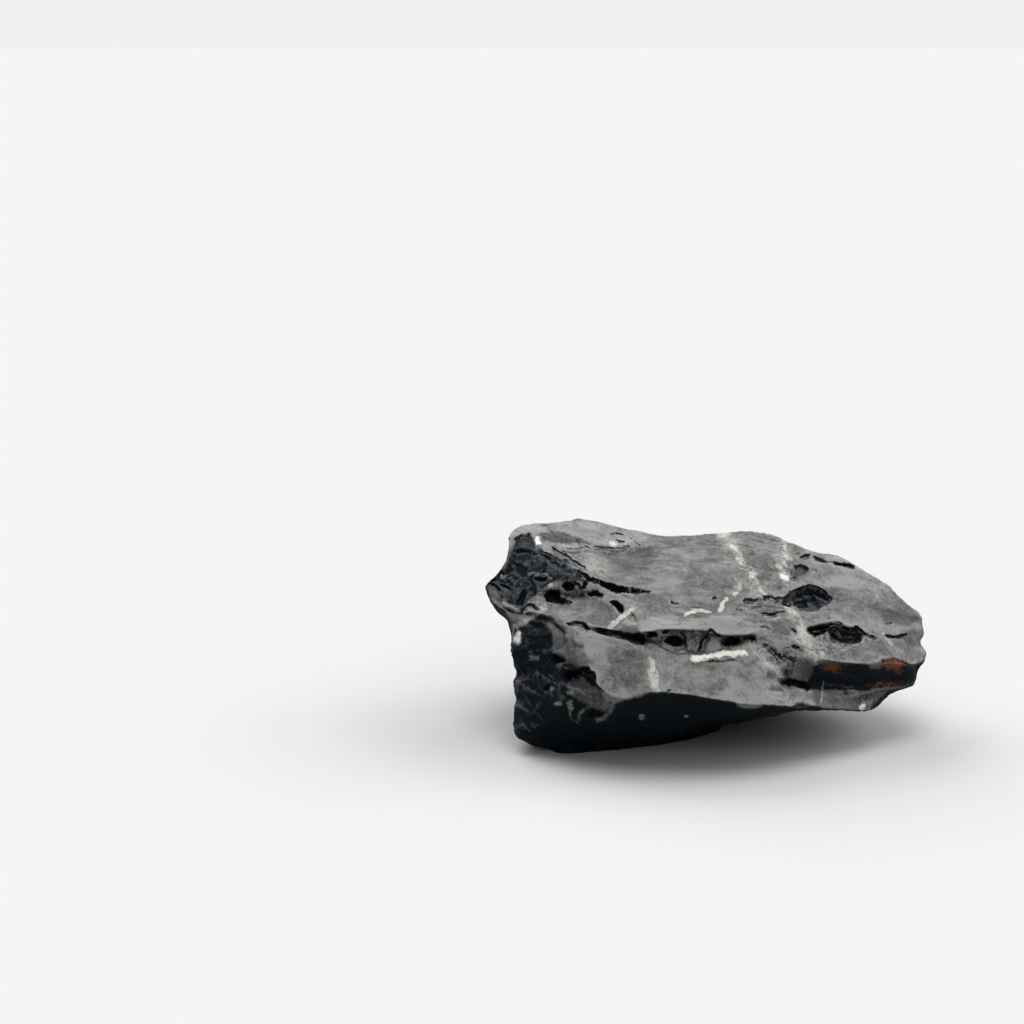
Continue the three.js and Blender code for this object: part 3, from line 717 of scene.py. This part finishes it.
class Surface:
    """The points of a mesh in mm, their normals, and what joins them."""

    def __init__(self, mesh):
        self.mesh = mesh
        self.points = read(mesh.vertices, "co", 3).astype(float) / MM
        self.edges = read(mesh.edges, "vertices", 2, np.int32)
        self.count = np.bincount(self.edges.ravel(), minlength=len(self.points)).astype(float)

    def blurred(self, values, rounds):
        """Values averaged with their neighbours along the edges."""
        if values.ndim > 1:
            return np.stack([self.blurred(column, rounds) for column in values.T], 1)
        a, b = self.edges.T
        for _ in range(rounds):
            total = np.bincount(a, values[b], len(values)) + np.bincount(b, values[a], len(values))
            values = 0.5 * values + 0.5 * total / self.count
        return values

    def write(self):
        self.mesh.vertices.foreach_set("co", (self.points * MM).astype(np.float32).ravel())
        self.mesh.update()

    def normals(self, rounds):
        self.write()
        normal = self.blurred(read(self.mesh.vertex_normals, "vector", 3).astype(float), rounds)
        return normal / np.linalg.norm(normal, axis=1, keepdims=True)

    def standing_out(self, normal, rounds):
        """How far each point stands out from its surroundings, in mm."""
        return ((self.points - self.blurred(self.points, rounds)) * normal).sum(1)

    def seen(self, normal):
        """1 where the camera sees the surface and 0 where it doesn't."""
        self.write()
        corners = [Vector(p) for p in self.points]
        tree = BVHTree.FromPolygons(corners, [tuple(p.vertices) for p in self.mesh.polygons])
        away = CAMERA - self.points
        away /= np.linalg.norm(away, axis=1, keepdims=True)
        facing = (away * normal).sum(1) > GRAZING
        clear = np.zeros(len(facing))
        for i in np.flatnonzero(facing):
            start = Vector(self.points[i] + SIGHT_START * normal[i] + SIGHT_START * away[i])
            clear[i] = tree.ray_cast(start, Vector(away[i]))[0] is None
        return self.blurred(clear, rounds=2)


def depth_of(points):
    """How far points are from the camera along its axis, in mm."""
    away = points - CAMERA
    return away[:, 1] * math.cos(PITCH) - away[:, 2] * math.sin(PITCH)


def in_picture(points):
    """Where points come in the picture, in pixels."""
    away = points - CAMERA
    up = away[:, 1] * math.sin(PITCH) + away[:, 2] * math.cos(PITCH)
    return PICTURE / 2 + FOCAL * np.stack([away[:, 0], -up], 1) / depth_of(points)[:, None]


def close_to(at, line, margin):
    """Which places are in the box round a line, with a margin."""
    return np.flatnonzero(((at > line.min(0) - margin) & (at < line.max(0) + margin)).all(1))


def from_line(at, line, margin):
    """For the places near a line: which they are, how far off (positive above), and share along."""
    line = np.array(line, float)
    near = close_to(at, line, margin)
    off = np.full(len(near), np.inf)
    share = np.zeros(len(near))
    lengths = np.linalg.norm(np.diff(line, axis=0), axis=1)
    done = np.concatenate([[0], np.cumsum(lengths)]) / lengths.sum()
    for k, (a, b) in enumerate(zip(line[:-1], line[1:])):
        way = b - a
        gap = at[near] - a
        t = np.clip((gap @ way) / (way @ way), 0, 1)
        rest = gap - t[:, None] * way
        distance = np.linalg.norm(rest, axis=1)
        closer = distance < np.abs(off)
        side = np.where((rest[:, 1] * way[0] - rest[:, 0] * way[1]) * np.sign(way[0] or 1) < 0, 1, -1)
        off = np.where(closer, distance * side, off)
        share = np.where(closer, done[k] + t * (done[k + 1] - done[k]), share)
    return near, off, share


def from_outline(at, outline, margin):
    """For the places near an outline: which they are, and how far inside (negative outside)."""
    closed = np.array([*outline, outline[0]], float)
    near, off, _ = from_line(at, closed, margin)
    x, y = at[near].T
    inside = np.zeros(len(near), bool)
    for (ax, ay), (bx, by) in zip(closed[:-1], closed[1:]):
        if ay != by:
            inside ^= ((ay > y) != (by > y)) & (x < (bx - ax) * (y - ay) / (by - ay) + ax)
    return near, np.where(inside, np.abs(off), -np.abs(off))


def within(at, outlines):
    """The greatest of the amounts of the outlines round each place."""
    most = np.zeros(len(at))
    for outline, amount in outlines:
        near, inside = from_outline(at, outline, FADE)
        most[near] = np.maximum(most[near], amount * smooth(inside, -FADE, FADE))
    return most


def roundish(at, middle, half_widths):
    """Distance from a middle, 1 at the half widths."""
    return np.linalg.norm((at - middle) / half_widths, axis=1)


# ---- the form

def pull(points):
    """Points moved a little across the picture. The flat spot that the stone rests on stays."""
    at = in_picture(points)
    shift = np.zeros_like(at)
    for middle, half_widths, move in PULLS:
        shift += np.exp(-roundish(at, middle, half_widths) ** 2)[:, None] * np.array(move, float)
    shift *= (depth_of(points) / FOCAL * smooth(points[:, 2], *PULL_FOOT))[:, None]
    right = np.array([1.0, 0.0, 0.0])
    down = np.array([0.0, -math.sin(PITCH), -math.cos(PITCH)])
    return points + shift[:, :1] * right + shift[:, 1:] * down


def melt(skin):
    """Plain surfaces in place of the steps inside the melted outlines."""
    at = in_picture(skin.points)
    depth = depth_of(skin.points)
    share = np.zeros(len(at))
    for outline in MELTED:
        near, inside = from_outline(at, outline, 0)
        near, inside = near[inside > 0], inside[inside > 0]
        front = depth[near] < depth[near].min() + MELT_DEPTH
        share[near[front]] = smooth(inside[front], 0, MELT_FADE)
    touched = skin.edges[(share[skin.edges] > 0).any(1)]
    corners = np.unique(touched)
    a, b = np.searchsorted(corners, touched.T)
    count = np.bincount(np.concatenate([a, b]), minlength=len(corners))[:, None]
    points, share = skin.points[corners], share[corners][:, None]
    for _ in range(MELT_ROUNDS):
        total = np.zeros_like(points)
        for k in range(3):
            total[:, k] = np.bincount(a, points[b, k], len(points))
            total[:, k] += np.bincount(b, points[a, k], len(points))
        points += share * (total / count - points)
    skin.points[corners] = points


def shape(piece):
    """The form with the photograph's small moves and without the melted steps."""
    skin = Surface(piece.data)
    skin.points = pull(skin.points)
    melt(skin)
    skin.write()


# ---- the broken surface

def carve(at, seen):
    """How far the features that the camera sees move the surface, in mm."""
    move = np.zeros(len(at))
    for line, half, depth in CRACKS:
        near, off, share = from_line(at, line, FAR * half)
        taper = smooth(np.minimum(share, 1 - share), *CRACK_END)
        move[near] -= depth * taper * np.exp(-((off / half) ** 2) ** CRACK_CURVE)
    for outline, _, soft, depth in FACETS:
        near, inside = from_outline(at, outline, 2 * soft)
        move[near] -= depth * smooth(inside, -0.5, 0.5 + soft)
    for line, drop, riser, run in STEPS:
        near, off, share = from_line(at, line, riser + run)
        taper = smooth(np.minimum(share, 1 - share), *STEP_END)
        move[near] -= drop * taper * smooth(-off, 0, riser) * (1 - smooth(-off, riser, riser + run))
    for middle, half_widths, depth in DENTS:
        move -= depth * (1 - smooth(roundish(at, middle, half_widths), *DENT_SIDE))
    for line, half, white in VEINS:
        near, off, _ = from_line(at, line, FAR * half)
        move[near] += VEIN_RISE * white * (1 - smooth(np.abs(off) / half, *VEIN_SIDE))
    return move * seen


def darkness(at, seen):
    """1 on the dark broken faces and in the dark hollows that the camera sees."""
    dark = np.zeros(len(at))
    for outline, dust, soft, _ in FACETS:
        if dust < DARK_DUST_AND_LIGHT and len(outline) > DARK_POINTS:
            near, inside = from_outline(at, outline, 2 * soft)
            dark[near] = np.maximum(dark[near], smooth(inside, -soft, soft))
    return dark * seen


def bedding(points, normal, long):
    """Thin beds: how far each lifts the surface, and how far they jut from the steep sides, in mm."""
    height = points @ BEDDING + wave(long, *BED_SWELL) + wave(long, *BED_RIPPLE)
    level = smooth(normal @ BEDDING, *LEVEL)
    rise = np.zeros(len(points))
    for thickness, drop, patch in BEDS:
        bed = height / thickness
        part = bed - np.floor(bed)
        tread = smooth(part, *BED_RISER) - part
        rise += drop * thickness * tread * level * patches(long, *patch)
    bed = height / JUT_BED
    profile = (bed - np.floor(bed)) ** JUT_CURVE - JUT_MIDDLE
    steep = 1 - smooth(np.abs(normal @ BEDDING), *GENTLE)
    return rise, JUT * profile * patches(points, *JUT_PATCH) * steep


def fracture(points, top):
    """Dishes, chips and flakes, in mm: shallow on the top, and the finer ones in patches."""
    patch = patches(points, *FRACTURE_PATCH)
    turned = points @ np.array(Euler(CHIP_TURN).to_matrix())
    rough = np.zeros(len(points))
    for size, turn, bend, dish, (depth, less), least in FRACTURE:
        place = warp(turned if turn else points, *bend) / size
        rough += scallops(place, *dish) * (depth - less * top) * (least + (1 - least) * patch)
    return rough


def break_up(piece):
    """The broken surface of the stone, with the sharp edges of the block nicked."""
    skin = Surface(piece.data)
    floor = skin.points[:, 2] < FLOOR_BAND
    skin.points = np.where(floor[:, None], skin.points, skin.blurred(skin.points, rounds=2))
    normal = skin.normals(rounds=4)
    seen = skin.seen(normal)
    points = skin.points
    long = points / STRETCH
    at = in_picture(ragged(points))

    top = smooth(normal @ BEDDING, *TOP) * (1 - darkness(at, seen))
    rise, jut = bedding(points, normal, long)
    ridge = skin.standing_out(normal, rounds=25)
    nicks = smooth(ridge, *RIDGE) * patches(long, *NICK_PATCH)
    out = wave(points, *SWELL) + wave(long, *RIPPLE) - SINK
    out += fracture(points, top) * (1 - within(at, PLAIN) * seen)
    out += jut - NICK * nicks
    out += carve(at, seen)
    out[floor] = 0.0
    points = points + normal * out[:, None] + BEDDING * (rise * ~floor)[:, None]
    points[:, 2] = np.maximum(points[:, 2], 0.0)
    points[floor, 2] = 0.0
    skin.points = points
    skin.write()


# ---- dust, cracks, veins and rust

def dust_and_light_on(at, up):
    """Dust and painted light on what faces up, most on the gentle slopes, and as the facets say."""
    dust = smooth(up, *DUST_AND_LIGHT_UP) * (LEVEL_DUST_AND_LIGHT + SLOPE_DUST_AND_LIGHT * (1 - smooth(up, *LEVEL_UP)))
    for outline, amount, soft, _ in FACETS:
        near, inside = from_outline(at, outline, 2 * soft)
        dust[near] += smooth(inside, -0.5 * soft, 0.5 * soft) * (amount - dust[near])
    return dust


def crack_shade_on(at):
    """How far off the nearest crack or hole is, in half widths. They are painted black as shade."""
    crack_shade = np.full(len(at), FAR)
    for outline, _, soft, depth in FACETS:
        if depth > HOLE:
            near, inside = from_outline(at, outline, 2 * soft)
            crack_shade[near] = np.minimum(crack_shade[near], 1 - inside / soft)
    for line, half, depth in CRACKS:
        near, off, _ = from_line(at, line, FAR * half)
        faint = 1 + smooth(depth, *FAINT)
        crack_shade[near] = np.minimum(crack_shade[near], np.abs(off) / half * faint)
    return crack_shade


def pale_on(at):
    """How pale the granular bands and the two painted highlights make each place."""
    pale = np.zeros(len(at))
    for line, half, amount in PALE:
        near, off, _ = from_line(at, line, FAR * half)
        share = 1 - smooth(np.abs(off) / half, *PALE_SIDE)
        pale[near] = np.maximum(pale[near], share * amount)
    return pale


def veins_on(points, at, seen):
    """How far off the nearest vein is, in half widths, and how white it is."""
    vein = np.full(len(at), FAR)
    white = np.zeros(len(at))
    for line, half, strength in VEINS:
        near, off, _ = from_line(at, line, FAR * half)
        off = np.abs(off) / half
        closer = off < vein[near]
        vein[near] = np.where(closer, off, vein[near])
        white[near] = np.where(closer, strength, white[near])
    bent = warp(points, *VEIN_BEND)
    for direction, offset, half, strength, salt in HIDDEN_VEINS:
        off = np.abs(bent @ np.array(direction) - offset) / half
        off += GAP_DEPTH * (1 - patches(points, VEIN_RUN, salt, *VEIN_GAP))
        closer = ~seen & (off < vein)
        vein[closer] = off[closer]
        white[closer] = strength
    return vein, white


def rust_on(points, at, seen, dust):
    """How rusty each place is: as listed where the camera sees it, and in patches elsewhere."""
    rust = np.zeros(len(at))
    for middle, half_widths, strength in RUSTS:
        share = 1 - smooth(roundish(at, middle, half_widths), *RUST_SIDE)
        rust = np.maximum(rust, strength * share)
    return np.where(seen, rust * smooth(dust, *RUSTY_DUST_AND_LIGHT), HIDDEN_RUST * patches(points, *RUST_PATCH))


def paint(piece):
    """Values at the points for the material."""
    skin = Surface(piece.data)
    normal = skin.normals(rounds=2)
    seen = skin.seen(normal) > 0.5
    points = skin.points
    at = np.where(seen[:, None], in_picture(ragged(points)), NOWHERE)

    # Painted highlights and wear on sharp edges, painted shade in creases, thin dust on unseen sides.
    up = skin.blurred(normal, rounds=8) @ LIGHT_AND_DUST_FROM
    dust = dust_and_light_on(at, up)
    grit = np.maximum(GRIT, within(at, GRITTY))
    edge = skin.standing_out(normal, rounds=5) / EDGE
    dust += EDGE_WEAR_LIGHT_AND_SHADE * np.clip(edge, -1, 1) * (EDGE_LEAST + grit) * smooth(up, *EDGE_UP)
    thin = patches(points, *DUST_PATCH) * (HIDDEN_SHARE + HIDDEN_EDGE * np.clip(edge, 0, 1))
    dust += ~seen * HIDDEN_DUST * thin

    vein, white = veins_on(points, at, seen)
    values_by_name = {
        "dust": dust, "crack_shade": crack_shade_on(at), "vein": vein, "white": white,
        "rust": rust_on(points, at, seen, dust), "grit": grit, "pale": pale_on(at),
    }
    for name, values in values_by_name.items():
        layer = skin.mesh.attributes.new(name, "FLOAT", "POINT")
        layer.data.foreach_set("value", values.astype(np.float32))


# ---- material

class Graph:
    """Short ways to add shader nodes and join them."""

    def __init__(self, tree):
        self.tree = tree

    def join(self, value, socket):
        if isinstance(value, bpy.types.NodeSocket):
            self.tree.links.new(value, socket)
        elif isinstance(value, tuple) and len(socket.default_value) == 4:
            socket.default_value = (*value, 1.0)
        else:
            socket.default_value = value

    def add(self, kind, output, inputs, **settings):
        """An output of a new node. Its inputs are given by name or number."""
        node = self.tree.nodes.new(kind)
        for name, value in settings.items():
            setattr(node, name, value)
        for name, value in inputs.items():
            self.join(value, node.inputs[name])
        return node.outputs[output]

    def math(self, operation, *values):
        return self.add("ShaderNodeMath", "Value", dict(enumerate(values)), operation=operation)

    def vector(self, operation, *values):
        output = "Value" if operation == "DOT_PRODUCT" else "Vector"
        return self.add("ShaderNodeVectorMath", output, dict(enumerate(values)), operation=operation)

    def fade(self, value, low, high, bottom=0.0, top=1.0):
        """A smooth step from bottom to top while the value goes from low to high."""
        inputs = {"Value": value, "From Min": low, "From Max": high, "To Min": bottom, "To Max": top}
        return self.add("ShaderNodeMapRange", "Result", inputs, interpolation_type="SMOOTHSTEP")

    def noise(self, place, stretch, scale, detail, rough):
        """Noise about zero."""
        place = self.vector("MULTIPLY", place, stretch)
        inputs = {"Vector": place, "Scale": scale, "Detail": detail, "Roughness": rough}
        return self.math("SUBTRACT", self.add("ShaderNodeTexNoise", "Fac", inputs), 0.5)

    def mix(self, share, first, second):
        return self.add("ShaderNodeMix", 2, {"Factor": share, 6: first, 7: second}, data_type="RGBA")

    def attribute(self, name):
        return self.add("ShaderNodeAttribute", "Fac", {}, attribute_name=name)


def stone_material():
    material = bpy.data.materials.new("shungite")
    material.use_nodes = True
    g = Graph(material.node_tree)
    shader = material.node_tree.nodes["Principled BSDF"]
    place = g.vector("MULTIPLY", g.add("ShaderNodeTexCoord", "Object", {}), (1 / MM, 1 / MM, 1 / MM))
    noises = {name: g.noise(place, *kind) for name, kind in NOISES.items()}
    noises["grit"] = g.math("MULTIPLY", noises["speck"], g.attribute("grit"))

    def swayed(name, value):
        """A value with the noises of its name added."""
        for noise_name, reach in SWAYS[name].items():
            value = g.math("MULTIPLY_ADD", noises[noise_name], reach, value)
        return value

    # Dust and painted light: little gives the blue-black of faces in shade, much the lit grey.
    dust = g.math("MULTIPLY", g.attribute("dust"), swayed("evenness", 1.0))
    dust = swayed("dust", dust)
    stone = g.mix(g.fade(dust, *SLATE_FADE), STONE_AND_SHADE_BLUE_BLACK, SLATE)
    color = g.mix(dust, g.mix(g.fade(dust, *SOOT_FADE), stone, SOOT), DUST_AND_LIT_GREY)
    band = g.fade(swayed("pale", noises["speck"]), *PALE_FADE, PALE_LEAST)
    color = g.mix(g.math("MULTIPLY", band, g.attribute("pale")), color, VEIN_AND_HIGHLIGHT_PALE)
    # Cracks and holes are painted black as shade.
    crack_shade = g.fade(swayed("crack_shade", g.attribute("crack_shade")), *CRACK_FADE, 1.0, 0.0)
    color = g.mix(crack_shade, color, CRACK_SHADE_BLACK)
    rust = g.fade(swayed("rust", g.attribute("rust")), *RUST_FADE)
    color = g.mix(rust, color, RUST)
    vein = g.fade(swayed("vein", g.attribute("vein")), *VEIN_SIDE, 1.0, 0.0)
    color = g.mix(g.math("MULTIPLY", vein, swayed("white", g.attribute("white"))), color, VEIN_AND_HIGHLIGHT_PALE)
    g.join(color, shader.inputs["Base Color"])

    height = swayed("bump", noises["fine"])
    inputs = {"Strength": BUMP_STRENGTH, "Distance": BUMP_HEIGHT * MM, "Height": height}
    g.join(g.add("ShaderNodeBump", "Normal", inputs), shader.inputs["Normal"])
    shader.inputs["Roughness"].default_value = ROUGHNESS
    shader.inputs["Specular IOR Level"].default_value = SPECULAR
    return material


# ---- studio

def paper_floor():
    mesh = bpy.data.meshes.new("floor")
    size = FLOOR_SIZE
    corners = [(-size, -size, 0), (size, -size, 0), (size, size, 0), (-size, size, 0)]
    mesh.from_pydata(corners, [], [(0, 1, 2, 3)])
    placed("floor", mesh)
    paper = bpy.data.materials.new("paper")
    paper.use_nodes = True
    shader = paper.node_tree.nodes["Principled BSDF"]
    shader.inputs["Base Color"].default_value = (FLOOR_TONE, FLOOR_TONE, FLOOR_TONE, 1)
    shader.inputs["Roughness"].default_value = FLOOR_ROUGHNESS
    shader.inputs["Specular IOR Level"].default_value = 0.0
    mesh.materials.append(paper)


def toward(bearing, height):
    """The direction at a compass bearing clockwise from the back and a height, in degrees."""
    b, h = math.radians(bearing), math.radians(height)
    return Vector((math.cos(h) * math.sin(b), math.cos(h) * math.cos(b), math.sin(h)))


def studio_light():
    """Soft lights round the back and overhead. The camera sees one plain tone behind it all."""
    world = bpy.data.worlds.new("studio")
    bpy.context.scene.world = world
    world.use_nodes = True
    world.node_tree.nodes.clear()
    g = Graph(world.node_tree)
    way = g.add("ShaderNodeTexCoord", "Generated", {})
    high, low = (math.cos(math.radians(angle)) for angle in LIGHT_ANGLES)
    light = ROOM_GLOW
    for (bearing, height), strength in LIGHTS:
        near = g.vector("DOT_PRODUCT", way, toward(bearing, height))
        light = g.math("ADD", g.fade(near, low, high, 0.0, strength), light)
    lit = g.add("ShaderNodeBackground", "Background", {"Strength": light})
    plain = g.add("ShaderNodeBackground", "Background", {"Color": (BACKDROP, BACKDROP, BACKDROP)})
    to_camera = g.add("ShaderNodeLightPath", "Is Camera Ray", {})
    both = g.add("ShaderNodeMixShader", "Shader", {"Fac": to_camera, 1: lit, 2: plain})
    g.join(both, world.node_tree.nodes.new("ShaderNodeOutputWorld").inputs["Surface"])


def camera():
    data = bpy.data.cameras.new("camera")
    data.sensor_width = SENSOR
    data.lens = FOCAL / PICTURE * SENSOR
    data.clip_start, data.clip_end = CLIP
    eye = placed("camera", data)
    eye.location = Vector(CAMERA * MM)
    eye.rotation_euler = (math.pi / 2 - PITCH, 0, 0)
    bpy.context.scene.camera = eye


camera()
paper_floor()
studio_light()
bpy.context.scene.view_settings.view_transform = "Standard"
bpy.context.scene.view_settings.gamma = GAMMA

rock = placed("rock_surface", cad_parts["rock"].data.copy())
remeshed(rock, FORM_VOXEL)
shape(rock)
remeshed(rock, VOXEL)
break_up(rock)
thin_out(rock)
paint(rock)
rock.data.materials.append(stone_material())
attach(rock, "root")
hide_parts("rock")
